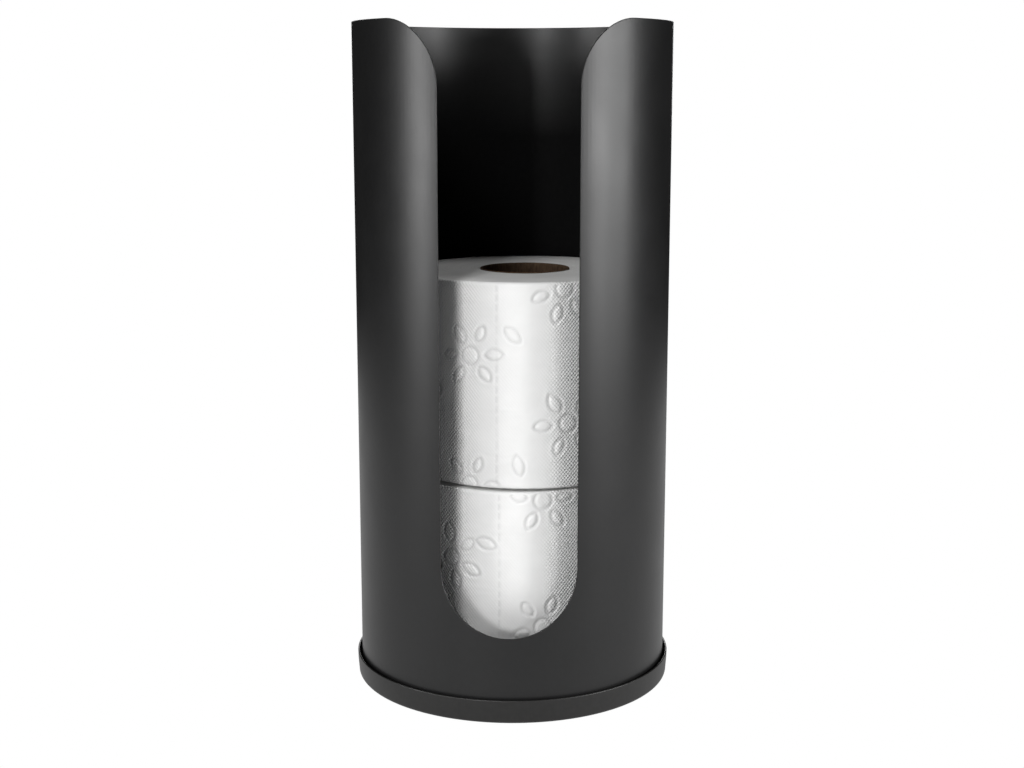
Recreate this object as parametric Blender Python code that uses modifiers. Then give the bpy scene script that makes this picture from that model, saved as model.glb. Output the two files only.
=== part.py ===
"""A free-standing toilet roll store: a slotted steel tube in a low round tray, with two rolls in it.

Units are metres and +Z is up. The origin is on the ground, under the tube's axis, and the slot
faces -Y. Run it with: blender --background --python part.py
"""

import math

import bmesh
import bpy
from mathutils import Matrix

MM = 0.001
GAP = 0.3 * MM  # left between two pieces that touch

# Driving dimensions of the tube, rolled from one sheet.
TUBE_RADIUS = 75.0 * MM  # outside
TUBE_SHEET = 0.8 * MM
TUBE_TOP = 317.3 * MM
SLOT_HALF_WIDTH = 32.15 * MM  # along the sheet; also the radius of the slot's round end
SLOT_LOWEST = 41.7 * MM
CORNER_RADIUS = 29.2 * MM  # of the outward curve where the slot meets the top edge
BEND_LINES = 80  # flats round the tube, besides those that the slot's outline adds
CORNER_STEPS = 8
SLOT_END_STEPS = 20

# Pressed tray that the tube stands in.
TRAY_SHEET = 1.0 * MM
TRAY_FOOT = 1.5 * MM  # underside of its foot ring, above the ground
TRAY_RIM_TOP = 13.0 * MM
TRAY_FOOT_RADIUS = 76.65 * MM
TRAY_RIM_RADIUS = 77.15 * MM
TRAY_CORNER = 2.0 * MM
TRAY_PANEL_UNDERSIDE = 4.8 * MM
TRAY_STEP_RADIUS = 58.0 * MM  # where the underside steps up from the foot ring to the panel

# Dish inside the tube's foot, which the lower roll stands on.
PLATE_SHEET = 0.9 * MM
PLATE_TOP = 9.5 * MM
PLATE_BEND = 2.0 * MM

# Fasteners between the dish and the tray, and the pads under the tray.
FASTENERS = 3
FASTENER_CIRCLE = 48.0 * MM
SCREW_RADIUS = 2.0 * MM
SCREW_LENGTH = 6.0 * MM
HEAD_RADIUS = 3.8 * MM
HEAD_HEIGHT = 2.2 * MM
HEAD_EDGE = 1.2 * MM
SHANK_CHAMFER = 0.4 * MM
RECESS_WIDTH = 0.8 * MM
RECESS_SPAN = 3.6 * MM
RECESS_DEPTH = 1.1 * MM
WASHER_OUTER = 3.8 * MM
WASHER_HEIGHT = 0.9 * MM
WASHER_SPLIT = 0.7 * MM
WASHER_SLIT_ANGLE = math.radians(25)
NUT_ACROSS_FLATS = 8.5 * MM
NUT_HEIGHT = 2.2 * MM
HOLE_RADIUS = SCREW_RADIUS + GAP
PADS = 4
PAD_RADIUS = 4.0 * MM
PAD_CIRCLE = 65.0 * MM
PAD_BEVEL = 0.25 * MM

# Toilet rolls: paper wound on a cardboard core.
ROLL_RADIUS = 58.0 * MM
ROLL_HEIGHT = 96.0 * MM
ROLL_EDGE = 1.5 * MM  # softness of the two outer edges
CORE_OUTER = 21.5 * MM
CORE_WALL = 0.8 * MM
LOWER_ROLL_AT = (4.0 * MM, 2.0 * MM)
UPPER_ROLL_AT = (5.9 * MM, 3.0 * MM)

ROUND_STEPS = 72
SMALL_STEPS = 24
SMOOTH_ANGLE = math.radians(35)


def clear_scene():
    for obj in list(bpy.data.objects):
        bpy.data.objects.remove(obj, do_unlink=True)


def new_collection(name):
    made = bpy.data.collections.new(name)
    bpy.context.scene.collection.children.link(made)
    return made


def new_material(name, colour, roughness, metallic=0.0):
    made = bpy.data.materials.new(name)
    made.use_nodes = True
    shader = made.node_tree.nodes["Principled BSDF"]
    shader.inputs["Base Color"].default_value = (*colour, 1.0)
    shader.inputs["Roughness"].default_value = roughness
    shader.inputs["Metallic"].default_value = metallic
    return made


def add_object(name, mesh, collection, material=None):
    obj = bpy.data.objects.new(name, mesh)
    collection.objects.link(obj)
    if material:
        mesh.materials.append(material)
    return obj


def mesh_from(bm, name):
    bmesh.ops.recalc_face_normals(bm, faces=bm.faces)
    mesh = bpy.data.meshes.new(name)
    bm.to_mesh(mesh)
    bm.free()
    mesh.shade_smooth()
    mesh.set_sharp_from_angle(angle=SMOOTH_ANGLE)
    return mesh


def arc(centre, radius, start, end, steps):
    """Points on an arc, its ends included. Angles are in degrees, from the first axis to the second."""
    angles = [math.radians(start + (end - start) * i / steps) for i in range(steps + 1)]
    return [(centre[0] + radius * math.cos(a), centre[1] + radius * math.sin(a)) for a in angles]


def turned(name, profile, material, steps=ROUND_STEPS, closed=False):
    """A turned piece: (radius, height) points, down the outer side, screwed round Z."""
    bm = bmesh.new()
    points = [bm.verts.new((radius, 0.0, height)) for radius, height in profile]
    for first, second in zip(points, points[1:]):
        bm.edges.new((first, second))
    if closed:
        bm.edges.new((points[-1], points[0]))
    mesh = bpy.data.meshes.new(name)
    bm.to_mesh(mesh)
    bm.free()
    obj = add_object(name, mesh, parts, material)
    screw = obj.modifiers.new("Screw", "SCREW")
    screw.steps = screw.render_steps = steps
    screw.use_merge_vertices = True
    screw.merge_threshold = 0.00001
    screw.use_smooth_shade = True
    return obj


def cut(obj, cutter):
    difference = obj.modifiers.new("Cut " + cutter.name, "BOOLEAN")
    difference.operation = "DIFFERENCE"
    difference.solver = "EXACT"
    difference.object = cutter


def add_cutter(name, bm):
    obj = add_object(name, mesh_from(bm, name), cutters)
    obj.hide_render = True
    obj.display_type = "WIRE"
    return obj


def cylinder(bm, radius, bottom, top, at=(0.0, 0.0), segments=SMALL_STEPS):
    place = Matrix.Translation((at[0], at[1], (bottom + top) / 2))
    bmesh.ops.create_cone(
        bm, cap_ends=True, segments=segments, radius1=radius, radius2=radius, depth=top - bottom, matrix=place
    )


def on_circle(radius, index, count, first=0.0):
    """A point on a circle round Z, counted from the back of the tube."""
    angle = math.radians(90.0 + first) + 2 * math.pi * index / count
    return radius * math.cos(angle), radius * math.sin(angle)


def sheet_outline():
    """The tube's flat pattern as (distance along the sheet, height), from the rear seam and back to it."""
    half = math.pi * TUBE_RADIUS
    bottom = TRAY_FOOT + TRAY_SHEET + GAP
    corner_x = SLOT_HALF_WIDTH + CORNER_RADIUS
    corner_z = TUBE_TOP - CORNER_RADIUS
    slot_centre = (0.0, SLOT_LOWEST + SLOT_HALF_WIDTH)
    left_corner = arc((-corner_x, corner_z), CORNER_RADIUS, 90, 0, CORNER_STEPS)
    slot_end = arc(slot_centre, SLOT_HALF_WIDTH, 180, 360, SLOT_END_STEPS)
    right_corner = arc((corner_x, corner_z), CORNER_RADIUS, 180, 90, CORNER_STEPS)
    ends = [(half, TUBE_TOP), (half, bottom), (-half, bottom), (-half, TUBE_TOP)]
    return left_corner + slot_end + right_corner + ends


def make_shell():
    """One sheet, cut flat and then rolled, so that each strip between two bend lines stays flat."""
    outline = sheet_outline()
    bm = bmesh.new()
    bm.faces.new([bm.verts.new((x, 0.0, z)) for x, z in outline])
    even = [math.pi * TUBE_RADIUS * (2 * i / BEND_LINES - 1) for i in range(1, BEND_LINES)]
    corner_end = SLOT_HALF_WIDTH + CORNER_RADIUS
    bends = [x for x in even if abs(x) > corner_end + 1 * MM] + [x for x, _ in outline[:-4]]
    for x in sorted({round(x, 7) for x in bends}):
        everything = bm.verts[:] + bm.edges[:] + bm.faces[:]
        bmesh.ops.bisect_plane(bm, geom=everything, dist=1e-7, plane_co=(x, 0, 0), plane_no=(1, 0, 0))
    for vert in bm.verts:
        angle = vert.co.x / TUBE_RADIUS - math.pi / 2
        vert.co.x = TUBE_RADIUS * math.cos(angle)
        vert.co.y = TUBE_RADIUS * math.sin(angle)
    bmesh.ops.remove_doubles(bm, verts=bm.verts, dist=0.00001)
    obj = add_object("shell", mesh_from(bm, "shell"), parts, black_steel)
    wall = obj.modifiers.new("Sheet", "SOLIDIFY")
    wall.thickness = TUBE_SHEET
    wall.offset = -1.0
    wall.use_even_offset = True


def make_base_tray():
    """Upper surface outwards from the axis, over the rim, down its outside and back along the underside."""
    inner = TRAY_CORNER - TRAY_SHEET
    panel_top = TRAY_PANEL_UNDERSIDE + TRAY_SHEET
    floor = TRAY_FOOT + TRAY_SHEET
    bend = TRAY_SHEET
    corner = (TRAY_FOOT_RADIUS - TRAY_CORNER, TRAY_FOOT + TRAY_CORNER)
    rim_middle = TRAY_RIM_RADIUS - TRAY_SHEET / 2
    profile = [(0.0, panel_top)]
    profile += arc((TRAY_STEP_RADIUS, panel_top - bend), bend, 90, 0, 3)
    profile += [(TRAY_STEP_RADIUS + TRAY_SHEET, floor)]
    profile += arc((corner[0], floor + inner), inner, 270, 360, 3)
    profile += arc((rim_middle, TRAY_RIM_TOP - TRAY_SHEET / 2), TRAY_SHEET / 2, 180, 0, 4)
    profile += arc(corner, TRAY_CORNER, 0, -90, 4)
    profile += [(TRAY_STEP_RADIUS, TRAY_FOOT), (TRAY_STEP_RADIUS, TRAY_PANEL_UNDERSIDE), (0.0, TRAY_PANEL_UNDERSIDE)]
    obj = turned("base_tray", profile, black_steel)
    for index in range(FASTENERS):
        cut(obj, screw_hole("tray_hole", index, 0.0, PLATE_TOP - PLATE_SHEET))


def make_bottom_plate():
    """A flat dish with a flange turned down inside the tube, to which it is spot-welded."""
    outside = TUBE_RADIUS - TUBE_SHEET - GAP
    flange_end = TRAY_FOOT + TRAY_SHEET + 2 * GAP
    centre = (outside - PLATE_BEND, PLATE_TOP - PLATE_BEND)
    profile = [(0.0, PLATE_TOP)] + arc(centre, PLATE_BEND, 90, 0, 4)
    profile += [(outside, flange_end), (outside - PLATE_SHEET, flange_end)]
    profile += arc(centre, PLATE_BEND - PLATE_SHEET, 0, 90, 3) + [(0.0, PLATE_TOP - PLATE_SHEET)]
    obj = turned("bottom_plate", profile, black_steel)
    for index in range(FASTENERS):
        cut(obj, screw_hole("plate_hole", index, TRAY_PANEL_UNDERSIDE, PLATE_TOP + 1 * MM))


def screw_hole(kind, index, bottom, top):
    bm = bmesh.new()
    cylinder(bm, HOLE_RADIUS, bottom, top, at=on_circle(FASTENER_CIRCLE, index, FASTENERS))
    return add_cutter(f"{kind}_{index + 1}", bm)


def make_screw(index):
    """Pan head below, shank up through the washer, the tray and the nut."""
    head_top = TRAY_PANEL_UNDERSIDE - 2 * GAP - WASHER_HEIGHT
    head_bottom = head_top - HEAD_HEIGHT
    tip = head_top + SCREW_LENGTH
    dome = arc((HEAD_RADIUS - HEAD_EDGE, head_bottom + HEAD_EDGE), HEAD_EDGE, 0, -90, 3)
    profile = [(0.0, tip), (SCREW_RADIUS - SHANK_CHAMFER, tip)]
    profile += [(SCREW_RADIUS, tip - SHANK_CHAMFER), (SCREW_RADIUS, head_top)]
    profile += [(HEAD_RADIUS, head_top)] + dome + [(0.0, head_bottom)]
    obj = turned(f"base_screw_{index + 1}", profile, plated_steel, steps=SMALL_STEPS)
    at = on_circle(FASTENER_CIRCLE, index, FASTENERS)
    obj.location = (at[0], at[1], 0.0)
    for bar, turn in enumerate((0.0, math.pi / 2)):
        size = Matrix.Diagonal((RECESS_SPAN, RECESS_WIDTH, 2 * RECESS_DEPTH, 1.0))
        place = Matrix.Translation((at[0], at[1], head_bottom)) @ Matrix.Rotation(turn, 4, "Z")
        bm = bmesh.new()
        bmesh.ops.create_cube(bm, size=1.0, matrix=place @ size)
        cut(obj, add_cutter(f"recess_{index + 1}_{bar + 1}", bm))


def make_washer(index):
    """A split spring washer between the screw's head and the tray."""
    top = TRAY_PANEL_UNDERSIDE - GAP
    profile = [(WASHER_OUTER, top), (WASHER_OUTER, top - WASHER_HEIGHT)]
    profile += [(HOLE_RADIUS, top - WASHER_HEIGHT), (HOLE_RADIUS, top)]
    obj = turned(f"lock_washer_{index + 1}", profile, plated_steel, steps=SMALL_STEPS, closed=True)
    at = on_circle(FASTENER_CIRCLE, index, FASTENERS)
    obj.location = (at[0], at[1], 0.0)
    size = Matrix.Diagonal((WASHER_OUTER, WASHER_SPLIT, 2 * WASHER_HEIGHT, 1.0))
    middle = Matrix.Translation((at[0] + WASHER_OUTER * 0.75, at[1], top - WASHER_HEIGHT / 2))
    tilt = Matrix.Rotation(WASHER_SLIT_ANGLE, 4, "X")
    bm = bmesh.new()
    bmesh.ops.create_cube(bm, size=1.0, matrix=middle @ tilt @ size)
    cut(obj, add_cutter(f"washer_slit_{index + 1}", bm))


def make_weld_nut(index):
    """A thin hexagon nut under the bottom plate."""
    top = PLATE_TOP - PLATE_SHEET - GAP
    at = on_circle(FASTENER_CIRCLE, index, FASTENERS)
    corner_radius = NUT_ACROSS_FLATS / 2 / math.cos(math.pi / 6)
    bm = bmesh.new()
    cylinder(bm, corner_radius, top - NUT_HEIGHT, top, at, segments=6)
    obj = add_object(f"weld_nut_{index + 1}", mesh_from(bm, "weld_nut"), parts, plated_steel)
    cut(obj, screw_hole("nut_hole", index, top - 2 * NUT_HEIGHT, top + NUT_HEIGHT))


def make_foot_pad(index):
    at = on_circle(PAD_CIRCLE, index, PADS, first=45.0)
    bm = bmesh.new()
    cylinder(bm, PAD_RADIUS, 0.0, TRAY_FOOT - GAP, at)
    obj = add_object(f"foot_pad_{index + 1}", mesh_from(bm, "foot_pad"), parts, rubber)
    bevel = obj.modifiers.new("Edge", "BEVEL")
    bevel.width = PAD_BEVEL
    bevel.segments = 1
    bevel.limit_method = "ANGLE"


def make_roll(name, at, bottom):
    """Paper wound on a core. Both pieces hang from an empty on the roll's own axis."""
    axis = bpy.data.objects.new(name + "_axis", None)
    axis.location = (at[0], at[1], bottom)
    parts.objects.link(axis)
    inside = CORE_OUTER + GAP
    top = ROLL_HEIGHT
    profile = [(inside, top)] + arc((ROLL_RADIUS - ROLL_EDGE, top - ROLL_EDGE), ROLL_EDGE, 90, 0, 4)
    profile += arc((ROLL_RADIUS - ROLL_EDGE, ROLL_EDGE), ROLL_EDGE, 0, -90, 4) + [(inside, 0.0)]
    paper = turned(name + "_paper", profile, white_paper, closed=True)
    bore = CORE_OUTER - CORE_WALL
    profile = [(CORE_OUTER, top), (CORE_OUTER, 0.0), (bore, 0.0), (bore, top)]
    core = turned(name + "_core", profile, cardboard, steps=2 * SMALL_STEPS, closed=True)
    paper.parent = core.parent = axis


clear_scene()
parts = new_collection("toilet_roll_store")
cutters = new_collection("cutters")
black_steel = new_material("black_powder_coat", (0.036, 0.036, 0.038), 0.5)
plated_steel = new_material("zinc_plated_steel", (0.55, 0.56, 0.58), 0.35, metallic=1.0)
rubber = new_material("black_rubber", (0.02, 0.02, 0.02), 0.85)
white_paper = new_material("white_tissue", (0.82, 0.82, 0.81), 0.95)
cardboard = new_material("brown_cardboard", (0.36, 0.25, 0.16), 0.9)

make_shell()
make_base_tray()
make_bottom_plate()
for number in range(FASTENERS):
    make_screw(number)
    make_washer(number)
    make_weld_nut(number)
for number in range(PADS):
    make_foot_pad(number)
make_roll("lower_roll", LOWER_ROLL_AT, PLATE_TOP + GAP)
make_roll("upper_roll", UPPER_ROLL_AT, PLATE_TOP + 2 * GAP + ROLL_HEIGHT)
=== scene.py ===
"""The looks of the toilet roll store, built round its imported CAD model.

Everything is in metres in the CAD model's own frame: +Z up, the ground at z = 0, the tube's axis on
Z and the slot facing -Y. Lengths in millimetres are multiplied by MM.
"""

import math
import random

import bmesh
import bpy
import numpy as np
from mathutils import Matrix, Vector


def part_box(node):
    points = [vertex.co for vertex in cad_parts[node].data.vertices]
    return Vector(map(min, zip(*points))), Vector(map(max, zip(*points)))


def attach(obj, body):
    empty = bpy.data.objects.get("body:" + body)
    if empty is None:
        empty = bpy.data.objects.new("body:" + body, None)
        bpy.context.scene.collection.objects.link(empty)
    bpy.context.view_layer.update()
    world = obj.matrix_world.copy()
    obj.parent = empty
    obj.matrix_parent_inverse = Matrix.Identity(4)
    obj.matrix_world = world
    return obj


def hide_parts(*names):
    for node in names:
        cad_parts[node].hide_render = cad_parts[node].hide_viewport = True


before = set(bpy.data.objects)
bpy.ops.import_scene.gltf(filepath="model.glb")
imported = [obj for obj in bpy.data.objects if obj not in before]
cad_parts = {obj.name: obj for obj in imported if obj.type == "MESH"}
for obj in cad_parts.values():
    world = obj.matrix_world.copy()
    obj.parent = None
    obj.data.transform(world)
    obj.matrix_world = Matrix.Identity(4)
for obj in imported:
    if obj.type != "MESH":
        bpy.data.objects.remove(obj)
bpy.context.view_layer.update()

MM = 0.001
SMOOTH_ANGLE = 35.0  # degrees; a sharper edge stays sharp

# Sizes in millimetres, on the CAD model's main dimensions. First the tube.
GAP = 0.3  # between two pieces that touch
TUBE_RADIUS = 75.0
TUBE_SHEET = 0.8
TUBE_TOP = 317.3
TUBE_FOOT = 2.8
HALF_GIRTH = math.pi * TUBE_RADIUS
SLOT_HALF_WIDTH = 32.15
SLOT_LOWEST = 41.7
CORNER_RADIUS = 29.2
EDGE_ROUNDING = 0.32  # of the coated sheet's cut edges
BEND_ANGLE = 1.5  # degrees between the lines where the sheet is bent
WELD_HEIGHT = 0.07
WELD_HALF_WIDTH = 1.3
PAINTED_SHADE_FROM = 14.0  # below the rim, where painted shade begins inside the tube: the coat's specular is turned down from here
PAINTED_SHADE_BELOW = 55.0  # below the rim, where the painted shade inside the tube is full and the coat is fully dull

# The tray under the tube and the dish inside it.
TRAY_SHEET = 1.0
TRAY_FOOT = 1.5
TRAY_FOOT_RADIUS = 76.65
TRAY_CORNER = 2.0
TRAY_RIM_RADIUS = 77.15
TRAY_RIM_TOP = 13.0
TRAY_STEP_RADIUS = 58.0
TRAY_PANEL_UNDERSIDE = 4.8
PLATE_SHEET = 0.9
PLATE_TOP = 9.5
PLATE_BEND = 2.0

# Fasteners between them, and the pads under the tray.
FASTENERS = 3
FASTENER_CIRCLE = 48.0
HOLE_RADIUS = 2.3
SCREW_TIP = 9.3
HEAD_TOP = 3.3
HEAD_RADIUS = 3.8
HEAD_BOTTOM = 1.1
THREAD_CREST = 1.98
THREAD_ROOT = 1.72
THREAD_PITCH = 0.7
THREAD_TURNS = 8
WASHER_BOTTOM = 3.6
WASHER_OUTER = 3.8
WASHER_INNER = 2.3
WASHER_WIRE = 0.9  # height of the wire before it is flattened
WASHER_FLATTENED = 0.82
WASHER_RISE = 0.16
NUT_BOTTOM = 6.1
NUT_TOP = 8.3
NUT_APOTHEM = 4.25
PADS = 4
PAD_CIRCLE = 65.0
PAD_RADIUS = 4.0
PAD_HEIGHT = 1.2

# The toilet rolls.
ROLL_RADIUS = 58.0
ROLL_HEIGHT = 96.0
ROLL_EDGE = 1.6  # radius of the two soft outer edges
TURN_LENGTH = 2 * math.pi * ROLL_RADIUS
SHEETS_TO_TURN = 3
BORE_RADIUS = 21.75
BORE_EDGE = 0.7
END_RADII = (55.9, 54.6, 52.5, 50.0, 47.0, 43.5, 39.5, 35.0, 31.0, 27.5, 24.5, 22.6)
CORE_OUTER = 21.5
CORE_WALL = 0.8
CORE_SPIRAL_PITCH = 62.0
FLOWER_COLUMNS = 8
FLOWER_ROW_STEP = 61.0
FLOWER_EYE_RADIUS = 4.1
PETALS = 6
PETALS_OUT = 11.0
PETAL_HALF_LENGTH = 4.1


# ---------------------------------------------------------------- meshes


def add_object(name, data):
    obj = bpy.data.objects.new(name, data)
    bpy.context.scene.collection.objects.link(obj)
    return obj


def mesh_from(bm, name):
    mesh = bpy.data.meshes.new(name)
    bm.to_mesh(mesh)
    bm.free()
    return mesh


def add_mesh(name, points, faces, material, smooth_angle=SMOOTH_ANGLE):
    """A mesh object from points in millimetres."""
    mesh = bpy.data.meshes.new(name)
    mesh.from_pydata([tuple(p) for p in np.asarray(points) * MM], [], faces)
    mesh.validate()
    mesh.shade_smooth()
    mesh.set_sharp_from_angle(angle=math.radians(smooth_angle))
    mesh.materials.append(material)
    return add_object(name, mesh)


def arc(centre, radius, start, end, steps):
    """Points on an arc from start to end, in degrees."""
    angles = np.radians(np.linspace(start, end, steps + 1))
    return [(centre[0] + radius * math.cos(a), centre[1] + radius * math.sin(a)) for a in angles]


def on_circle(radius, index, count, first=0.0):
    """A point on a circle round Z, counted from the back of the tube."""
    angle = math.radians(90.0 + first) + 2 * math.pi * index / count
    return radius * math.cos(angle), radius * math.sin(angle)


def turned(name, profile, material, steps=288, at=(0.0, 0.0)):
    """Screws (radius, height) points round Z, from the axis down the outer side and back to the axis."""
    turn = np.linspace(0, 2 * math.pi, steps, endpoint=False)
    points, faces, rows = [], [], []
    for radius, height in profile:
        start = len(points)
        if radius < 1e-6:
            points.append((at[0], at[1], height))
            rows.append([start] * steps)
        else:
            points += [(at[0] + radius * math.cos(a), at[1] + radius * math.sin(a), height) for a in turn]
            rows.append(list(range(start, start + steps)))
    for upper, lower in zip(rows, rows[1:]):
        for i in range(steps):
            j = (i + 1) % steps
            face = []
            for corner in (upper[i], lower[i], lower[j], upper[j]):
                if corner not in face:
                    face.append(corner)
            if len(face) > 2:
                faces.append(face)
    return add_mesh(name, points, faces, material)


def hoop_faces(rows, across):
    """Quads between rows of points that run up the outside of a hoop, over its top and back inside."""
    i, j = np.meshgrid(np.arange(rows), np.arange(across), indexing="ij")
    below, beside = (i + 1) % rows, (j + 1) % across
    corners = [i * across + j, i * across + beside, below * across + beside, below * across + j]
    return np.stack(corners, -1).reshape(-1, 4)


def keep_flat_shading(obj):
    """Weighted normals: flat faces look flat right up to their rounded edges."""
    weighted = obj.modifiers.new("Flat faces lead", "WEIGHTED_NORMAL")
    weighted.mode = "FACE_AREA"
    weighted.keep_sharp = True


def cut_with(obj, cutters):
    """Boolean difference with each cutter object, applied at once; the cutters are removed."""
    for cutter in cutters:
        difference = obj.modifiers.new("Cut", "BOOLEAN")
        difference.operation = "DIFFERENCE"
        difference.solver = "EXACT"
        difference.object = cutter
    bpy.context.view_layer.update()
    evaluated = obj.evaluated_get(bpy.context.evaluated_depsgraph_get())
    mesh = bpy.data.meshes.new_from_object(evaluated)
    obj.modifiers.clear()
    obj.data = mesh
    for cutter in cutters:
        bpy.data.objects.remove(cutter, do_unlink=True)
    mesh.shade_smooth()
    mesh.set_sharp_from_angle(angle=math.radians(SMOOTH_ANGLE))


def finish_piece(obj, body, node):
    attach(obj, body)
    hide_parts(node)


# ---------------------------------------------------------------- materials


class Nodes:
    """Short calls for building a material's nodes."""

    def __init__(self, name):
        self.material = bpy.data.materials.new(name)
        self.material.use_nodes = True
        self.tree = self.material.node_tree
        self.shader = self.tree.nodes["Principled BSDF"]

    def add(self, kind, **inputs):
        """A node, with each keyword fed to its property or, with spaces for underscores, its socket."""
        node = self.tree.nodes.new(kind)
        for key, value in inputs.items():
            if key in node.bl_rna.properties and key not in node.inputs:
                setattr(node, key, value)
            else:
                self.feed(node.inputs[key.replace("_", " ")], value)
        return node

    def feed(self, socket, value):
        if isinstance(value, bpy.types.NodeSocket):
            self.tree.links.new(value, socket)
        else:
            socket.default_value = value

    def place(self, coords="Object"):
        return self.add("ShaderNodeTexCoord").outputs[coords]

    def split(self, vector):
        return self.add("ShaderNodeSeparateXYZ", Vector=vector).outputs

    def noise(self, scale, detail=2.0, stretch=None):
        place = self.place()
        if stretch:
            place = self.add("ShaderNodeMapping", Vector=place, Scale=stretch).outputs[0]
        return self.add("ShaderNodeTexNoise", Vector=place, Scale=scale, Detail=detail).outputs["Fac"]

    def math(self, operation, first, second=0.0):
        node = self.tree.nodes.new("ShaderNodeMath")
        node.operation = operation
        self.feed(node.inputs[0], first)
        self.feed(node.inputs[1], second)
        return node.outputs[0]

    def ranged(self, value, low, high, start=0.3, end=0.7, interpolation="LINEAR"):
        """Low up to the start, high past the end and in between on the way."""
        node = self.add("ShaderNodeMapRange", interpolation_type=interpolation)
        for socket, number in zip(node.inputs[:5], (value, start, end, low, high)):
            self.feed(socket, number)
        return node.outputs[0]

    def ramp(self, value, *stops):
        node = self.tree.nodes.new("ShaderNodeValToRGB")
        self.feed(node.inputs[0], value)
        for element, (at, colour) in zip(node.color_ramp.elements, stops):
            element.position = at
            element.color = (*colour, 1.0)
        return node.outputs[0]

    def bump(self, height, strength, distance, below=None):
        node = self.add("ShaderNodeBump", Height=height, Strength=strength, Distance=distance)
        if below is not None:
            self.feed(node.inputs["Normal"], below)
        return node.outputs[0]

    def set(self, **inputs):
        for key, value in inputs.items():
            self.feed(self.shader.inputs[key.replace("_", " ")], value)
        return self.material


def powder_coat(name, dark, light, rough, grain, peel):
    """Satin powder coat: fine grain, a slow orange-peel wave and faint patches of sheen."""
    n = Nodes(name)
    patches = n.noise(38.0, 3.0)
    colour = n.ramp(n.noise(420.0, 4.0), (0.30, dark), (0.70, light))
    waves = n.bump(n.noise(peel, 2.0), 0.10, 0.00012)
    grains = n.bump(n.noise(grain, 3.0), 0.16, 0.00006, below=waves)
    # Painted shade: on the tube's inner faces below the rim, the coat's specular level drops from 0.50 to
    # 0.03, so the inner wall stays dark.
    place = n.place()
    outward = n.add("ShaderNodeVectorMath", operation="DOT_PRODUCT")
    n.feed(outward.inputs[0], n.add("ShaderNodeNewGeometry").outputs["Normal"])
    n.feed(outward.inputs[1], place)
    inside = n.ranged(outward.outputs["Value"], 1.0, 0.0, -0.8 * TUBE_RADIUS * MM, -0.4 * TUBE_RADIUS * MM)
    height = n.split(place)[2]
    deep = n.ranged(height, 1.0, 0.0, (TUBE_TOP - PAINTED_SHADE_BELOW) * MM, (TUBE_TOP - PAINTED_SHADE_FROM) * MM)
    # Painted shade: the specular level that keeps the coat dark inside the tube.
    gloss_with_painted_shade = n.ranged(n.math("MULTIPLY", inside, deep), 0.50, 0.03, 0.0, 1.0)
    return n.set(
        Base_Color=colour,
        Roughness=n.ranged(patches, rough - 0.02, rough + 0.025),
        Specular_IOR_Level=gloss_with_painted_shade,
        Normal=grains,
    )


def plated_steel():
    n = Nodes("zinc_plated_steel")
    colour = n.ramp(n.noise(160.0, 5.0), (0.25, (0.50, 0.52, 0.55)), (0.75, (0.66, 0.66, 0.64)))
    fine = n.bump(n.noise(2600.0, 3.0, stretch=(1.0, 1.0, 0.2)), 0.25, 0.00004)
    rough = n.ranged(n.noise(300.0, 4.0), 0.26, 0.44)
    return n.set(Base_Color=colour, Metallic=1.0, Roughness=rough, Normal=fine)


def rubber():
    n = Nodes("foam_rubber")
    cells = n.add("ShaderNodeTexVoronoi", Vector=n.place(), Scale=2200.0)
    pores = n.bump(cells.outputs["Distance"], 0.5, 0.00012)
    colour = n.ramp(n.noise(700.0, 3.0), (0.3, (0.014, 0.014, 0.014)), (0.7, (0.028, 0.028, 0.027)))
    return n.set(Base_Color=colour, Roughness=0.86, Normal=pores)


def tissue(lattice_columns=224, lattice_pitch=1.9 * MM):
    """Outer turn: a fine diamond lattice pressed into soft fibre. UV is (share of a turn, height in m)."""
    n = Nodes("white_tissue")
    turn_share, height, _ = n.split(n.place("UV"))
    across = n.math("SINE", n.math("MULTIPLY", turn_share, 2 * math.pi * lattice_columns))
    up = n.math("SINE", n.math("MULTIPLY", height, 2 * math.pi / lattice_pitch))
    lattice = n.math("MULTIPLY", across, up)
    # The web was pulled smooth where it faces the slot, so the lattice is weak there.
    from_slot = n.math("FRACT", n.math("ADD", turn_share, 0.512))
    from_slot = n.math("ABSOLUTE", n.math("SUBTRACT", from_slot, 0.5))
    kept = n.ranged(from_slot, 0.08, 1.0, 0.040, 0.074)
    uneven = n.ranged(n.noise(150.0, 2.0), 0.65, 1.0)
    depth = n.math("MULTIPLY", n.math("MULTIPLY", lattice, uneven), kept)
    pressed = n.bump(depth, 1.0, 0.00030)
    soft = n.bump(n.noise(260.0, 3.0), 0.25, 0.0003, below=pressed)
    fibre = n.bump(n.noise(1500.0, 4.0, stretch=(1.0, 1.0, 0.45)), 0.25, 0.0001, below=soft)
    colour = n.ramp(n.noise(90.0, 3.0), (0.25, (0.82, 0.82, 0.815)), (0.75, (0.87, 0.87, 0.865)))
    # Painted shade: the base colour is darkened in the pressed grooves and the slits, partly for the
    # compressed fibre there and partly as shade painted into them.
    groove = n.add("ShaderNodeAttribute", attribute_name="pressed").outputs["Fac"]
    shaded = n.add("ShaderNodeMix", data_type="RGBA", blend_type="MULTIPLY")
    n.feed(shaded.inputs[0], n.math("MULTIPLY", groove, 0.40))
    n.feed(shaded.inputs[6], colour)
    n.feed(shaded.inputs[7], (0.60, 0.60, 0.60, 1.0))
    return n.set(
        Base_Color=shaded.outputs[2],
        Roughness=0.92,
        Specular_IOR_Level=0.25,
        Sheen_Weight=0.06,
        Normal=fibre,
    )


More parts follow.
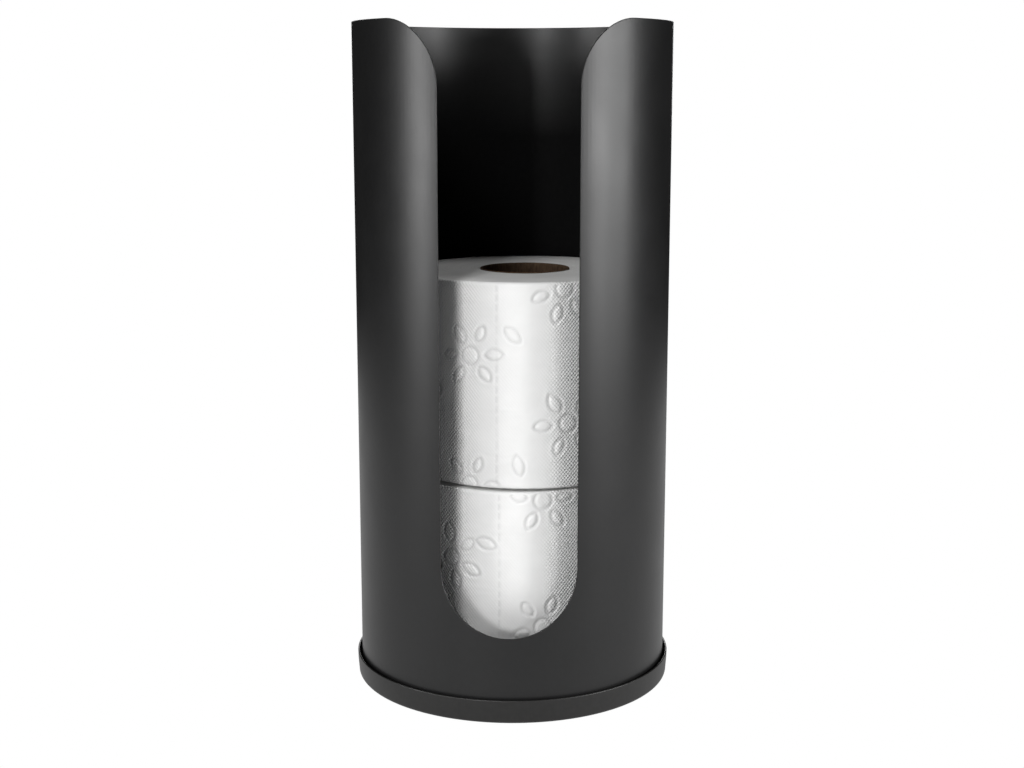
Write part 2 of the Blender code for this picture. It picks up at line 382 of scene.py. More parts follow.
def tissue_ends():
    """The roll's ends: hundreds of wound plies seen edge-on. UV is (radius in m, share of a turn)."""
    n = Nodes("white_tissue_ends")
    radius, turn_share, _ = n.split(n.place("UV"))
    turn = n.math("MULTIPLY", turn_share, 2 * math.pi)
    place = n.add("ShaderNodeCombineXYZ")
    n.feed(place.inputs[0], n.math("MULTIPLY", radius, 1900.0))
    n.feed(place.inputs[1], n.math("COSINE", turn))
    n.feed(place.inputs[2], n.math("SINE", turn))
    plies = n.add("ShaderNodeTexNoise", Vector=place.outputs[0], Scale=1.6, Detail=3.0).outputs["Fac"]
    colour = n.ramp(plies, (0.25, (0.66, 0.66, 0.65)), (0.7, (0.80, 0.80, 0.79)))
    lines = n.bump(plies, 0.55, 0.0005)
    fibre = n.bump(n.noise(1300.0, 4.0), 0.3, 0.0002, below=lines)
    return n.set(Base_Color=colour, Roughness=0.95, Specular_IOR_Level=0.2, Sheen_Weight=0.05, Normal=fibre)


def cardboard():
    n = Nodes("brown_cardboard")
    flecks = n.noise(900.0, 5.0, stretch=(1.0, 1.0, 0.35))
    # Painted shade: the cardboard's brown is made much darker than kraft, so the core in the roll's bore
    # looks shaded.
    colour = n.ramp(flecks, (0.3, (0.060, 0.036, 0.021)), (0.7, (0.105, 0.067, 0.042)))
    grain = n.bump(n.noise(1400.0, 4.0), 0.35, 0.00015)
    return n.set(Base_Color=colour, Roughness=0.9, Specular_IOR_Level=0.2, Normal=grain)


black = powder_coat(
    "black_powder_coat",
    dark=(0.0058, 0.0058, 0.0060),
    light=(0.0072, 0.0072, 0.0074),
    rough=0.36,
    grain=2400.0,
    peel=520.0,
)
tray_black = powder_coat(
    "tray_powder_coat",
    dark=(0.0070, 0.0068, 0.0065),
    light=(0.0105, 0.0101, 0.0097),
    rough=0.42,
    grain=1700.0,
    peel=430.0,
)
steel = plated_steel()
foam = rubber()
paper = tissue()
paper_ends = tissue_ends()
card = cardboard()


# ---------------------------------------------------------------- tube


def edge_arc(centre, radius, start, end, steps, side=1):
    """Rows of an arc in the sheet's outline; side is -1 where the sheet lies outside the arc."""
    rows = []
    for angle in np.radians(np.linspace(start, end, steps + 1)):
        c, s = math.cos(angle), math.sin(angle)
        rows.append((centre[0] + radius * c, centre[1] + radius * s, side * c, side * s))
    return rows


def sheet_edges():
    """The flat sheet's edges as rows of (distance along the sheet, height, outward normal).

    The upper edge runs from the rear seam through the slot to the seam again, the lower one back.
    """
    corner_x = SLOT_HALF_WIDTH + CORNER_RADIUS
    corner_z = TUBE_TOP - CORNER_RADIUS
    slot_centre = (0.0, SLOT_LOWEST + SLOT_HALF_WIDTH)
    upper = [(-HALF_GIRTH, TUBE_TOP, 0, 1)]
    upper += edge_arc((-corner_x, corner_z), CORNER_RADIUS, 90, 0, 40)
    upper += edge_arc(slot_centre, SLOT_HALF_WIDTH, 180, 360, 96, side=-1)
    upper += edge_arc((corner_x, corner_z), CORNER_RADIUS, 180, 90, 40)
    upper += [(HALF_GIRTH, TUBE_TOP, 0, 1)]
    lower = [(HALF_GIRTH, TUBE_FOOT, 0, -1), (-HALF_GIRTH, TUBE_FOOT, 0, -1)]
    return np.array(upper), np.array(lower)


def flat_sheet():
    """The sheet before it is rolled, with y as the depth below its outer face and rounded cut edges."""
    upper, lower = sheet_edges()
    outline = np.vstack([upper, lower])
    count = len(outline)
    at_seam = {len(upper) - 1, count - 1}  # the two ends, which meet at the back
    quarter = np.radians(np.linspace(0, 90, 5))
    rims = [(EDGE_ROUNDING * (1 - math.sin(a)), EDGE_ROUNDING * (1 - math.cos(a))) for a in quarter]
    rims += [(inset, TUBE_SHEET - depth) for inset, depth in reversed(rims)]
    bm = bmesh.new()
    loops = []
    for inset, depth in rims:
        places = outline[:, :2] - inset * outline[:, 2:]
        loops.append([bm.verts.new((x, depth, z)) for x, z in places])
    bm.faces.new(loops[0])
    bm.faces.new(list(reversed(loops[-1])))
    for first, second in zip(loops, loops[1:]):
        for i in range(count):
            if i not in at_seam:
                j = (i + 1) % count
                bm.faces.new((first[i], second[i], second[j], first[j]))
    return bm


def make_shell():
    """The flat sheet, bent along many lines into the tube and welded up the back."""
    bm = flat_sheet()
    bends = TUBE_RADIUS * np.radians(np.arange(-180, 180, BEND_ANGLE))[1:]
    weld_lines = [HALF_GIRTH - d for d in (0.35, 0.7, 1.0, WELD_HALF_WIDTH)]
    for x in sorted([*bends, *weld_lines, *(-line for line in weld_lines)]):
        everything = bm.verts[:] + bm.edges[:] + bm.faces[:]
        bmesh.ops.bisect_plane(bm, geom=everything, dist=1e-4, plane_co=(x, 0, 0), plane_no=(1, 0, 0))
    for vert in bm.verts:
        x, depth, z = vert.co
        angle = x / TUBE_RADIUS - math.pi / 2
        radius = TUBE_RADIUS - depth
        if depth < TUBE_SHEET / 2:
            from_seam = min(1.0, (HALF_GIRTH - abs(x)) / WELD_HALF_WIDTH)
            radius += WELD_HEIGHT * max(0.0, math.cos(from_seam * math.pi / 2)) ** 2
        vert.co = (radius * math.cos(angle), radius * math.sin(angle), z)
    bmesh.ops.remove_doubles(bm, verts=bm.verts, dist=0.002)
    bmesh.ops.recalc_face_normals(bm, faces=bm.faces)
    bm.transform(Matrix.Scale(MM, 4))
    mesh = mesh_from(bm, "tube_shell")
    mesh.shade_smooth()
    mesh.materials.append(black)
    obj = add_object("tube_shell", mesh)
    keep_flat_shading(obj)
    finish_piece(obj, "holder", "shell")


# ---------------------------------------------------------------- tray and bottom plate


def screw_holes(underside, upper_side):
    """Cutters that pass through a sheet at each screw."""
    cutters = []
    for index in range(FASTENERS):
        top, bottom = upper_side + 1.0, underside - 1.0
        profile = [(0, top), (HOLE_RADIUS, top), (HOLE_RADIUS, bottom), (0, bottom)]
        at = on_circle(FASTENER_CIRCLE, index, FASTENERS)
        cutters.append(turned("hole", profile, steel, steps=48, at=at))
    return cutters


def make_base_tray():
    """A pressed tray: rounded rim, foot ring and a raised panel, with screw holes."""
    panel_top = TRAY_PANEL_UNDERSIDE + TRAY_SHEET
    floor = TRAY_FOOT + TRAY_SHEET
    corner = (TRAY_FOOT_RADIUS - TRAY_CORNER, TRAY_FOOT + TRAY_CORNER)
    half_sheet = TRAY_SHEET / 2
    rim = (TRAY_RIM_RADIUS - half_sheet, TRAY_RIM_TOP - half_sheet)
    bend = 0.6  # inside radius of the step's two bends
    inward = 0.4  # how far the step's underside lies inside its upper side
    profile = [(0.0, panel_top), (30.0, panel_top)]
    profile += arc((TRAY_STEP_RADIUS - bend, panel_top - bend), bend, 90, 20, 5)
    profile += arc((TRAY_STEP_RADIUS + 2 * bend, floor + bend), bend, 200, 270, 5)
    profile += arc(corner, TRAY_CORNER - TRAY_SHEET, 270, 360, 8)
    profile += arc(rim, half_sheet, 180, 0, 12)
    profile += [(TRAY_RIM_RADIUS - 0.05, TRAY_RIM_TOP - 3.5)]
    profile += arc(corner, TRAY_CORNER, 0, -90, 10)
    profile += arc((TRAY_STEP_RADIUS + 2 * bend - inward, TRAY_FOOT + bend), bend, 270, 200, 4)
    profile += arc((TRAY_STEP_RADIUS - bend - inward, TRAY_PANEL_UNDERSIDE - bend), bend, 20, 90, 4)
    profile += [(0.0, TRAY_PANEL_UNDERSIDE)]
    obj = turned("base_tray_pressing", profile, tray_black)
    cut_with(obj, screw_holes(TRAY_PANEL_UNDERSIDE, panel_top))
    keep_flat_shading(obj)
    finish_piece(obj, "holder", "base_tray")


def make_bottom_plate():
    """The dish that the lower roll stands on: a flat floor with a turned-down flange."""
    outside = TUBE_RADIUS - TUBE_SHEET - GAP
    underside = PLATE_TOP - PLATE_SHEET
    bend = (outside - PLATE_BEND, PLATE_TOP - PLATE_BEND)
    flange_end = (outside - PLATE_SHEET / 2, TUBE_FOOT + 0.5)
    profile = [(0.0, PLATE_TOP)] + arc(bend, PLATE_BEND, 90, 0, 8)
    profile += [(outside, flange_end[1] + 0.05)] + arc(flange_end, 0.42, 0, -180, 6)
    profile += arc(bend, PLATE_BEND - PLATE_SHEET, 0, 90, 6) + [(0.0, underside)]
    obj = turned("bottom_plate_dish", profile, black)
    cut_with(obj, screw_holes(underside, PLATE_TOP))
    keep_flat_shading(obj)
    finish_piece(obj, "holder", "bottom_plate")


# ---------------------------------------------------------------- fasteners and feet


def recess_bar(at, turn):
    """A tapered bar that cuts one half of a screw's cross recess."""
    bm = bmesh.new()
    corners = []
    for half_length, half_width, z in ((1.75, 0.42, HEAD_BOTTOM - 0.1), (0.55, 0.30, HEAD_BOTTOM + 1.15)):
        for sx, sy in ((-1, -1), (1, -1), (1, 1), (-1, 1)):
            corners.append(bm.verts.new((sx * half_length, sy * half_width, z)))
    for face in ((3, 2, 1, 0), (4, 5, 6, 7), (0, 1, 5, 4), (1, 2, 6, 5), (2, 3, 7, 6), (3, 0, 4, 7)):
        bm.faces.new([corners[i] for i in face])
    bmesh.ops.recalc_face_normals(bm, faces=bm.faces)
    place = Matrix.Translation((*at, 0)) @ Matrix.Rotation(turn, 4, "Z")
    bm.transform(Matrix.Scale(MM, 4) @ place)
    return add_object("recess", mesh_from(bm, "recess"))


def make_screws():
    """Pan-head machine screws, heads down, with a cross recess and a rolled thread."""
    for index in range(FASTENERS):
        at = on_circle(FASTENER_CIRCLE, index, FASTENERS)
        profile = [(0.0, SCREW_TIP), (1.55, SCREW_TIP), (1.95, SCREW_TIP - 0.25)]
        for turn in range(THREAD_TURNS):
            crest = SCREW_TIP - 0.3 - THREAD_PITCH * turn
            profile += [(THREAD_CREST, crest), (THREAD_ROOT, crest - THREAD_PITCH / 2)]
        profile += [(1.95, HEAD_TOP + GAP), (1.95, HEAD_TOP)]
        profile += arc((HEAD_RADIUS - 0.2, HEAD_TOP - 0.2), 0.2, 90, 0, 3)
        profile += arc((HEAD_RADIUS - 1.5, HEAD_BOTTOM + 1.5), 1.5, 0, -70, 9)
        profile += [(1.4, HEAD_BOTTOM + 0.02), (0.0, HEAD_BOTTOM)]
        screw = turned(f"base_screw_{index + 1}_thread", profile, steel, steps=64, at=at)
        driven = 0.4 * index  # where the driver left the recess
        cut_with(screw, [recess_bar(at, driven), recess_bar(at, driven + math.pi / 2)])
        keep_flat_shading(screw)
        finish_piece(screw, "holder", f"base_screw_{index + 1}")


def make_washers():
    """Split spring washers: one turn of square wire whose ends stand a little apart."""
    rounding, steps = 0.15, 56
    outer, inner = WASHER_OUTER - rounding, WASHER_INNER + rounding
    low, high = rounding, WASHER_WIRE - rounding
    section = []
    for x, z, start in ((outer, high, 0), (inner, high, 90), (inner, low, 180), (outer, low, 270)):
        section += arc((x, z), rounding, start, start + 90, 3)
    size = len(section)
    for index in range(FASTENERS):
        cx, cy = on_circle(FASTENER_CIRCLE, index, FASTENERS)
        points, faces = [], []
        for i in range(steps + 1):
            share = i / steps
            angle = math.radians(9 + 342 * share) + 0.7 * index
            bottom = WASHER_BOTTOM + WASHER_RISE * share
            for radius, z in section:
                x, y = cx + radius * math.cos(angle), cy + radius * math.sin(angle)
                points.append((x, y, bottom + z * WASHER_FLATTENED))
        for i in range(steps):
            for k in range(size):
                a, b = i * size + k, i * size + (k + 1) % size
                faces.append((a, b, b + size, a + size))
        faces.append(tuple(range(size)))
        faces.append(tuple(reversed(range(steps * size, (steps + 1) * size))))
        washer = add_mesh(f"lock_washer_{index + 1}_spring", points, faces, steel)
        bm = bmesh.new()
        bm.from_mesh(washer.data)
        bmesh.ops.recalc_face_normals(bm, faces=bm.faces)
        bm.to_mesh(washer.data)
        bm.free()
        washer.data.set_sharp_from_angle(angle=math.radians(30))
        finish_piece(washer, "holder", f"lock_washer_{index + 1}")


def make_weld_nuts():
    """Thin hexagon nuts with chamfered corners and a tapped bore."""
    steps = 72
    corner = NUT_APOTHEM / math.cos(math.pi / 6)
    rows = [(corner, NUT_BOTTOM + 0.35), (corner, NUT_TOP - 0.35)]
    rows += [(4.1, NUT_TOP), (2.6, NUT_TOP), (2.35, NUT_TOP)]
    for turn in range(3):
        crest = NUT_TOP - 0.5 - 0.6 * turn
        rows += [(2.32, crest + 0.3), (2.12, crest)]
    rows += [(2.35, NUT_BOTTOM + 0.2), (2.6, NUT_BOTTOM), (4.1, NUT_BOTTOM)]
    faces = hoop_faces(len(rows), steps).tolist()
    for index in range(FASTENERS):
        at = on_circle(FASTENER_CIRCLE, index, FASTENERS)
        points = []
        for radius, z in rows:
            for i in range(steps):
                angle = 2 * math.pi * i / steps
                flat = NUT_APOTHEM / math.cos((angle + math.pi / 6) % (math.pi / 3) - math.pi / 6)
                reach = min(radius, flat)
                points.append((at[0] + reach * math.cos(angle), at[1] + reach * math.sin(angle), z))
        nut = add_mesh(f"weld_nut_{index + 1}_hexagon", points, faces, steel, smooth_angle=25.0)
        keep_flat_shading(nut)
        finish_piece(nut, "holder", f"weld_nut_{index + 1}")


def make_feet():
    """Self-adhesive foam pads with softened edges."""
    profile = [(0.0, PAD_HEIGHT)] + arc((PAD_RADIUS - 0.2, PAD_HEIGHT - 0.15), 0.15, 90, 0, 3)
    profile += arc((PAD_RADIUS - 0.35, 0.35), 0.35, 0, -90, 5) + [(0.0, 0.0)]
    for index in range(PADS):
        at = on_circle(PAD_CIRCLE, index, PADS, first=45.0)
        pad = turned(f"foot_pad_{index + 1}_foam", profile, foam, steps=72, at=at)
        keep_flat_shading(pad)
        finish_piece(pad, "holder", f"foot_pad_{index + 1}")


# ---------------------------------------------------------------- toilet rolls


def shorter_way(distance):
    """A distance along the outer turn, taken the shorter way round."""
    return (distance + TURN_LENGTH / 2) % TURN_LENGTH - TURN_LENGTH / 2


def leaf_outline(a, b, half_length, half_width):
    """Signed distance to a pointed leaf, whose axis is the first coordinate."""
    bow = (half_length**2 + half_width**2) / (2 * half_width)
    first = np.hypot(a, b - (bow - half_width)) - bow
    second = np.hypot(a, b + (bow - half_width)) - bow
    return np.maximum(first, second)


def embossing(u, v, first_column, seed):
    """Depth pressed into the outer turn: flowers on a staggered grid, with loose leaves between."""
    chance = random.Random(seed)
    depth = np.zeros_like(u)

    def press(cu, cv, reach, signed):
        """A groove along the outline that a signed distance gives, with its inside left puffed up."""
        du = shorter_way(u - cu)
        near = (np.abs(du) < reach) & (np.abs(v - cv) < reach)
        distance = signed(du[near], (v - cv)[near])
        groove = np.exp(-((distance / 0.56) ** 2))
        pillow = 0.45 * np.clip(-distance / 1.3, 0, 1) + 0.22 * np.exp(-(((distance - 1.5) / 0.7) ** 2))
        depth[near] = np.maximum(depth[near], groove) - pillow

    def eye(x, y):
        return np.hypot(x, y) - FLOWER_EYE_RADIUS

    def leaf(cu, cv, turn, half_length, half_width):
        c, s = math.cos(turn), math.sin(turn)

        def signed(x, y):
            return leaf_outline(x * c + y * s, y * c - x * s, half_length, half_width)

        press(cu, cv, half_length + 2.5, signed)

    for column in range(FLOWER_COLUMNS):
        cu = first_column + column * TURN_LENGTH / FLOWER_COLUMNS
        stagger = FLOWER_ROW_STEP / 2 if column % 2 else 0.0
        for row in range(-1, 3):
            cv = 1.0 + FLOWER_ROW_STEP * row + stagger
            at_u, at_v = cu + chance.uniform(-1.2, 1.2), cv + chance.uniform(-1.2, 1.2)
            if -18 < cv < ROLL_HEIGHT + 18:
                press(at_u, at_v, FLOWER_EYE_RADIUS + 2.4, eye)
                first = chance.uniform(0, math.pi / 3)
                for petal in range(PETALS):
                    turn = first + petal * 2 * math.pi / PETALS + chance.uniform(-0.16, 0.16)
                    out = PETALS_OUT + chance.uniform(-0.6, 0.9)
                    length = PETAL_HALF_LENGTH + chance.uniform(-0.5, 0.8)
                    petal_at = (at_u + out * math.cos(turn), at_v + out * math.sin(turn))
                    leaf(*petal_at, turn, length, length * 0.56)
            loose = (cu + chance.uniform(19, 25), cv + chance.uniform(6, 18))
            leaf(*loose, chance.uniform(0, math.pi), 5.0, 2.6)
    return depth


def creases(u, v, seed):
    """Short soft wrinkles along the web."""
    chance = random.Random(seed)
    height = np.zeros_like(u)
    for _ in range(90):
        cu, cv = chance.uniform(0, TURN_LENGTH), chance.uniform(2, ROLL_HEIGHT - 2)
        length, width = chance.uniform(4, 13), chance.uniform(0.5, 0.9)
        tilt = chance.uniform(-0.10, 0.10)
        du = shorter_way(u - cu)
        dv = v - cv - tilt * du
        rise = chance.choice((-1, 1)) * chance.uniform(0.03, 0.10)
        height += rise * np.exp(-((du / length) ** 2) - (dv / width) ** 2)
    return height


def waves(u, v, seed, most_round=5, amplitude=0.16):
    """Smooth unevenness made of a few long waves that close round the turn."""
    chance = random.Random(seed)
    total = np.zeros_like(u)
    for _ in range(10):
        around = chance.randint(1, most_round)
        along = chance.uniform(-most_round, most_round) / 5.5
        phase = chance.uniform(0, 2 * math.pi)
        total += np.cos(2 * math.pi * (around * u / TURN_LENGTH + along * v / ROLL_HEIGHT) + phase)
    return total * amplitude / 3.2


def perforations(u, v, angle_at):
    """Rows of short slits between the sheets, from 0 to 1, and their relief with a faint ridge beside."""
    dash = 0.5 + 0.5 * np.tanh(4.0 * np.cos(2 * math.pi * v / 5.2 + 1.4 * np.sin(v / 7.0)) + 2.0)
    dash *= 0.35 + 0.65 * np.abs(np.sin(v / 14.0 + angle_at * 9.0))
    slits, relief = np.zeros_like(u), np.zeros_like(u)
    for sheet in range(SHEETS_TO_TURN):
        line = angle_at * ROLL_RADIUS + sheet * TURN_LENGTH / SHEETS_TO_TURN
        du = shorter_way(u - line)
        slit = np.exp(-((du / 0.5) ** 2)) * dash
        slits = np.maximum(slits, slit)
        relief += -0.20 * slit + 0.06 * np.exp(-(((du - 1.1) / 0.7) ** 2))
    return slits, relief


def free_end(u, angle_at):
    """Relief of the web's free end: a step up onto the last sheet, and the slow way in under it."""
    past = (u - angle_at * ROLL_RADIUS) % TURN_LENGTH
    lift = 0.30 * np.exp(-past / 9.0) + 0.22 * np.exp(-((past / 2.2) ** 2))
    return lift * np.clip(past / 0.01, 0, 1) + 0.12 * (1 - past / TURN_LENGTH)


def wound_ends(radius, height, angle, on_side, seed):
    """How far the ends lie back: plies that stand unevenly, a soft dip at the core and worn edges."""
    chance = random.Random(seed)
    knots = np.linspace(20, 60, 60)
    steps = np.array([chance.uniform(-0.14, 0.14) for _ in knots])
    flat = np.clip((57.0 - radius) / 2.0, 0, 1) * (1 - on_side) * (radius > BORE_RADIUS + 0.15)
    ply = np.interp(radius, knots, steps) + 0.10 * np.sin(3 * angle + radius * 0.2)
    sag = 0.25 * np.exp(-((radius - BORE_RADIUS - 0.05) / 3.0) ** 2)
    from_end = np.minimum(height, ROLL_HEIGHT - height)
    worn = 0.42 * np.clip((radius - 46.0) / 9.0, 0, 1) ** 1.5 * np.clip(1 - from_end / ROLL_EDGE, 0, 1)
    return flat * (np.abs(ply) * 0.9 + sag) + worn


def paper_ring(side_rows):
    """The paper's outline as (radius, height): out along the bottom, up the side, in and down the bore."""
    rounding = ROLL_RADIUS - ROLL_EDGE, ROLL_EDGE
    turns = np.radians((18, 40, 62, 80))
    lower_edge = [
        (rounding[0] + ROLL_EDGE * math.sin(a), rounding[1] - ROLL_EDGE * math.cos(a)) for a in turns
    ]
    straight = ROLL_HEIGHT - 2 * ROLL_EDGE
    side = [(ROLL_RADIUS, ROLL_EDGE + straight * i / side_rows) for i in range(side_rows + 1)]
    upper_edge = [(r, ROLL_HEIGHT - z) for r, z in reversed(lower_edge)]
    ring = [(BORE_RADIUS, BORE_EDGE)] + [(r, 0.0) for r in reversed(END_RADII)]
    ring += lower_edge + side + upper_edge
    ring += [(r, ROLL_HEIGHT) for r in END_RADII] + [(BORE_RADIUS, ROLL_HEIGHT - BORE_EDGE)]
    bore = ROLL_HEIGHT - 2 * BORE_EDGE
    ring += [(BORE_RADIUS, ROLL_HEIGHT - BORE_EDGE - bore * i / 12) for i in range(1, 12)]
    return np.array(ring)


def paper_mesh(name, points, faces, uv, is_end, pressed):
    """A mesh from arrays, with the two paper materials and, as an attribute, where the grooves and slits
    get painted shade.
    """
    mesh = bpy.data.meshes.new(name)
    mesh.vertices.add(len(points))
    mesh.vertices.foreach_set("co", (points * MM).astype(np.float32).ravel())
    mesh.loops.add(faces.size)
    mesh.loops.foreach_set("vertex_index", faces.astype(np.int32).ravel())
    mesh.polygons.add(len(faces))
    mesh.polygons.foreach_set("loop_start", (np.arange(len(faces)) * 4).astype(np.int32))
    mesh.update(calc_edges=True)
    layer = mesh.uv_layers.new(name="UVMap")
    layer.data.foreach_set("uv", uv.astype(np.float32).ravel())
    mesh.materials.append(paper)
    mesh.materials.append(paper_ends)
    mesh.polygons.foreach_set("material_index", is_end.astype(np.int32))
    # Where the paper's colour is darkened by painted shade: the grooves and slits.
    groove = mesh.attributes.new("pressed", "FLOAT", "POINT")
    groove.data.foreach_set("value", pressed.astype(np.float32).ravel())
    mesh.shade_smooth()
    mesh.validate()
    return mesh


def make_roll(prefix, body, seed, flowers_at, perforation_at, tail_at):
    """Soft paper with pressed flowers, perforated into sheets, wound on a cardboard core."""
    low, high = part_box(prefix + "_paper")
    cx, cy = (low.x + high.x) / 2 / MM, (low.y + high.y) / 2 / MM
    bottom = low.z / MM
    across, side_rows = ((560, 130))

    ring = paper_ring(side_rows)
    count = len(ring)
    angle = (np.arange(across) * 2 * math.pi / across)[None, :]
    radius, height, angle = np.broadcast_arrays(ring[:, :1], ring[:, 1:], angle)
    radius, height = radius.copy(), height.copy()
    u = angle * ROLL_RADIUS

    # Relief in full on the side, fading out over the edges.
    on_side = (radius > ROLL_RADIUS - 1e-6).astype(float)
    outside = np.clip((radius - 52.0) / 6.0, 0, 1) ** 2
    near_edge = np.clip(np.minimum(height, ROLL_HEIGHT - height) / 2.5, 0.25, 1)
    pressed = embossing(u, height, flowers_at * ROLL_RADIUS, seed)
    slits, slit_relief = perforations(u, height, perforation_at)
    relief = -0.52 * pressed * near_edge + creases(u, height, seed + 1) + slit_relief + free_end(u, tail_at)
    radius += relief * on_side + 0.6 * relief * outside * (1 - on_side)
    radius += waves(u, height, seed + 2) * outside
    inwards = np.where(height > ROLL_HEIGHT / 2, -1, 1)
    height += inwards * wound_ends(radius, height, angle, on_side, seed + 3)

    theta = angle - math.pi / 2
    points = np.stack([cx + radius * np.cos(theta), cy + radius * np.sin(theta), bottom + height], -1)
    faces = hoop_faces(count, across)
    is_end = np.repeat(np.minimum(ring[:, 0], np.roll(ring[:, 0], -1)) <= END_RADII[0], across)
    # UV: the side takes (share of a turn, height), the ends take (radius, share of a turn).
    column = np.tile(np.arange(across), count)
    turn_share = np.stack([column, column + 1, column + 1, column], -1) / across
    heights, radii = height.ravel()[faces] * MM, radius.ravel()[faces] * MM
    side_uv, end_uv = np.stack([turn_share, heights], -1), np.stack([radii, turn_share], -1)
    uv = np.where(is_end[:, None, None], end_uv, side_uv)
    # The grooves and slits, as a mask for the painted shade in the paper's colour.
    groove_and_slit_shade = np.clip(pressed + 0.7 * slits, 0, 1) * on_side
    mesh = paper_mesh(prefix + "_tissue", points.reshape(-1, 3), faces, uv, is_end, groove_and_slit_shade)
    obj = add_object(prefix + "_tissue", mesh)
    finish_piece(obj, body, prefix + "_paper")

    make_core(prefix, body, (cx, cy), bottom)


def make_core(prefix, body, at, bottom):
    """A spiral-wound cardboard tube: the strip's edge shows as a shallow helical step."""
    across, rows = 144, 96
    outer, inner = CORE_OUTER, CORE_OUTER - CORE_WALL
    wall = [0.2 + (ROLL_HEIGHT - 0.4) * i / rows for i in range(rows + 1)]
    ring = [(outer, z) for z in wall] + [(outer - 0.15, ROLL_HEIGHT), (inner + 0.15, ROLL_HEIGHT)]
    ring += [(inner, ROLL_HEIGHT - z) for z in wall] + [(inner + 0.15, 0.0), (outer - 0.15, 0.0)]
    points = []
    for radius, z in ring:
        into_wall = -1 if radius > (outer + inner) / 2 else 1
        for j in range(across):
            angle = 2 * math.pi * j / across
            strip = (angle / (2 * math.pi) + z / CORE_SPIRAL_PITCH) % 1.0
            step = 0.10 * math.exp(-((min(strip, 1 - strip) / 0.010) ** 2))
            reach = radius + into_wall * step
            points.append((at[0] + reach * math.cos(angle), at[1] + reach * math.sin(angle), bottom + z))
    faces = hoop_faces(len(ring), across).tolist()
    core = add_mesh(prefix + "_cardboard_core", points, faces, card, smooth_angle=40.0)
    finish_piece(core, body, prefix + "_core")


# ---------------------------------------------------------------- build

make_shell()
make_base_tray()
make_bottom_plate()
make_screws()
make_washers()
make_weld_nuts()
make_feet()
make_roll("lower_roll", "lower_roll", 11, math.radians(-34), math.radians(-9), math.radians(150))
make_roll("upper_roll", "upper_roll", 23, math.radians(-25), math.radians(-12), math.radians(200))


# ---------------------------------------------------------------- camera, floor and light, in metres

CAMERA_LENS = 55.78  # focal length in millimetres, for a 36 mm sensor
CAMERA_AT = (0.0061, -0.76, 0.288)
CAMERA_DOWN = 10.632  # degrees
CAMERA_PAN = 0.477  # degrees
CAMERA_SWING = 0.0151  # radians round the tube's axis
LIGHTS_AIM = (0.0, 0.0, 0.16)
FLOOR_GLOW = 0.62
DISC_INNER = 0.55  # the floor's glow fades from here
DISC_OUTER = 1.15  # to here
ROOM_LIGHT = 0.012


def make_camera():
    data = bpy.data.cameras.new("camera")
    data.sensor_width = 36.0
    data.lens = CAMERA_LENS
    camera = add_object("camera", data)
    camera.location = Matrix.Rotation(CAMERA_SWING, 4, "Z") @ Vector(CAMERA_AT)
    camera.rotation_euler = (math.radians(90 - CAMERA_DOWN), 0.0, math.radians(CAMERA_PAN) + CAMERA_SWING)
    bpy.context.scene.camera = camera
    bpy.context.scene.view_settings.view_transform = "Standard"


def softbox(name, azimuth, elevation, distance, width, height, power, aim=LIGHTS_AIM):
    """An area light. Azimuth is measured from the camera's side (-Y) towards +X, in degrees."""
    data = bpy.data.lights.new(name, "AREA")
    data.shape = "RECTANGLE"
    data.size, data.size_y = width, height
    data.energy = power
    light = add_object(name, data)
    a, e = math.radians(azimuth), math.radians(elevation)
    away = Vector((math.sin(a) * math.cos(e), -math.cos(a) * math.cos(e), math.sin(e)))
    light.location = Vector(aim) + distance * away
    light.rotation_euler = away.to_track_quat("Z", "Y").to_euler()
    light.visible_camera = False


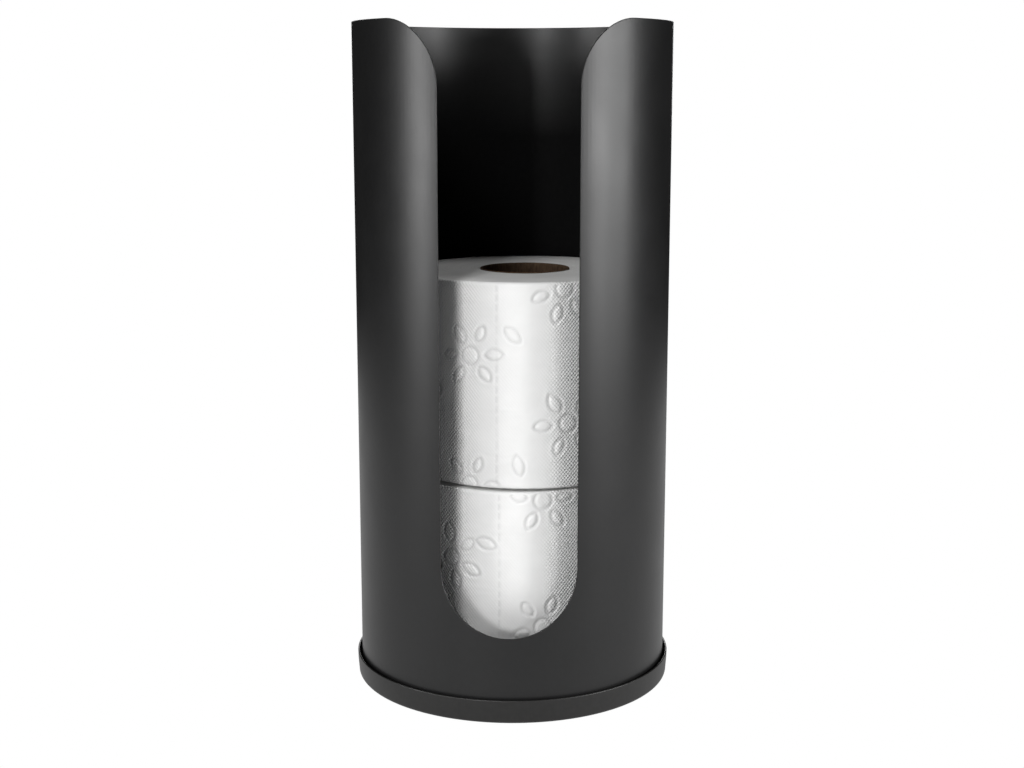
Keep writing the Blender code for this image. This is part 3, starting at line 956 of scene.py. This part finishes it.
def make_floor():
    """A pale table top: plain white to the camera, and a bright disc round the object to reflections."""
    bm = bmesh.new()
    bmesh.ops.create_grid(bm, x_segments=1, y_segments=1, size=4.0)
    floor = add_object("floor", mesh_from(bm, "floor"))
    n = Nodes("floor_white")
    n.tree.nodes.remove(n.shader)
    far = n.add("ShaderNodeVectorMath", operation="LENGTH", Vector=n.place()).outputs["Value"]
    disc = n.ranged(far, FLOOR_GLOW, 0.0, DISC_INNER, DISC_OUTER, interpolation="SMOOTHSTEP")
    seen = n.add("ShaderNodeLightPath").outputs["Is Camera Ray"]
    strength = n.math("ADD", seen, n.math("MULTIPLY", n.math("SUBTRACT", 1.0, seen), disc))
    glow = n.add("ShaderNodeEmission", Strength=strength)
    n.feed(n.tree.nodes["Material Output"].inputs["Surface"], glow.outputs[0])
    floor.data.materials.append(n.material)


def make_world():
    """White to the camera, and a little room light to everything else."""
    world = bpy.data.worlds.new("studio")
    world.use_nodes = True
    tree = world.node_tree
    tree.nodes.clear()
    ray = tree.nodes.new("ShaderNodeLightPath")
    mix = tree.nodes.new("ShaderNodeMix")
    mix.data_type = "FLOAT"
    mix.inputs[2].default_value = ROOM_LIGHT
    mix.inputs[3].default_value = 1.0
    tree.links.new(ray.outputs["Is Camera Ray"], mix.inputs[0])
    background = tree.nodes.new("ShaderNodeBackground")
    background.inputs["Color"].default_value = (1.0, 1.0, 1.0, 1.0)
    tree.links.new(mix.outputs[0], background.inputs["Strength"])
    out = tree.nodes.new("ShaderNodeOutputWorld")
    tree.links.new(background.outputs[0], out.inputs["Surface"])
    bpy.context.scene.world = world


make_camera()
make_floor()
make_world()
# Name, azimuth, elevation, distance, width, height and power.
softbox("left_strip", -64, 8, 1.2, 0.28, 0.50, 6.0)
softbox("right_strip", 63, 8, 1.2, 0.28, 0.50, 6.6)
softbox("right_edge", 82, 8, 1.2, 0.20, 0.50, 3.3)
softbox("right_high", 60, 24, 1.2, 0.30, 0.40, 1.5)
softbox("key_left", -22, 5, 1.3, 0.28, 0.18, 4.6)
softbox("key_high", -20, 38, 1.3, 0.28, 0.30, 5.6)
softbox("key_right", 32, 5, 1.3, 0.20, 0.18, 1.7)
softbox("top_back", 180, 72, 1.1, 0.30, 0.30, 1.8, aim=(0.0, 0.0, 0.20))
softbox("back_fill", 180, 14, 1.5, 0.80, 0.60, 7.0)
